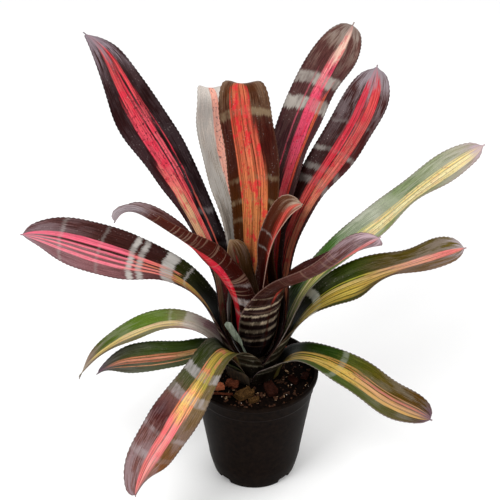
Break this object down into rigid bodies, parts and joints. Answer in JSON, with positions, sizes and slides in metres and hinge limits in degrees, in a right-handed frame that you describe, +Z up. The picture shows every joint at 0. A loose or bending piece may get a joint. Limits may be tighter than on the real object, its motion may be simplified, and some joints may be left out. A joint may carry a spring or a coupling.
{
  "type": "potted roberto menescal aechmea",
  "caption": "Variegated bromeliad: a tank rosette of strap leaves with striped centres and pale bands, rooted in dark mix with bark chips in a round black nursery pot.",
  "frame": {"origin": "centre of the pot's flat base, where the pot's axis meets the surface it stands on", "axes": "+Z up along the pot's axis, +X to the right and -Y to the front as pictured"},
  "size_m": [0.5313, 0.4194, 0.5321],
  "materials": {
    "pot_plastic": "thin black moulded plastic, a soft sheen, roughness 0.4",
    "potting_mix": "matt dark mix of peat and fine bark, roughness 0.95",
    "crown_stem": "dull fibrous stem, roughness 0.8",
    "leaf_blade": "smooth waxy leaf, maroon with pink and yellow stripes and pale bands, roughness 0.4",
    "cut_leaf": "grey-green drying leaf, roughness 0.7",
    "dry_leaf": "papery brown leaf base, roughness 0.8",
    "bark": "rough split bark, orange to dark red-brown, roughness 0.9"
  },
  "bodies": {
    "root": {"pot": "pot_plastic", "potting_mix": "potting_mix", "crown": "crown_stem", "leaf_heart": "leaf_blade", "leaf_inner_right": "leaf_blade", "leaf_inner_left": "leaf_blade", "leaf_inner_front": "leaf_blade", "leaf_rear_middle": "leaf_blade", "leaf_rear_silver": "leaf_blade", "leaf_rear_tall": "leaf_blade", "leaf_right_upright": "leaf_blade", "leaf_left_tall": "leaf_blade", "leaf_right_high": "leaf_blade", "leaf_left_spread": "leaf_blade", "leaf_right_spread": "leaf_blade", "leaf_front_low": "leaf_blade", "leaf_left_arched": "leaf_blade", "leaf_left_low": "leaf_blade", "leaf_right_low": "leaf_blade", "cut_leaf_strip": "cut_leaf", "old_leaf_base": "dry_leaf", "bark_chip_1": "bark", "bark_chip_2": "bark", "bark_chip_3": "bark", "bark_chip_4": "bark", "bark_chip_5": "bark", "bark_chip_6": "bark", "bark_chip_7": "bark", "bark_chip_8": "bark", "bark_chip_9": "bark"}
  },
  "joints": []
}
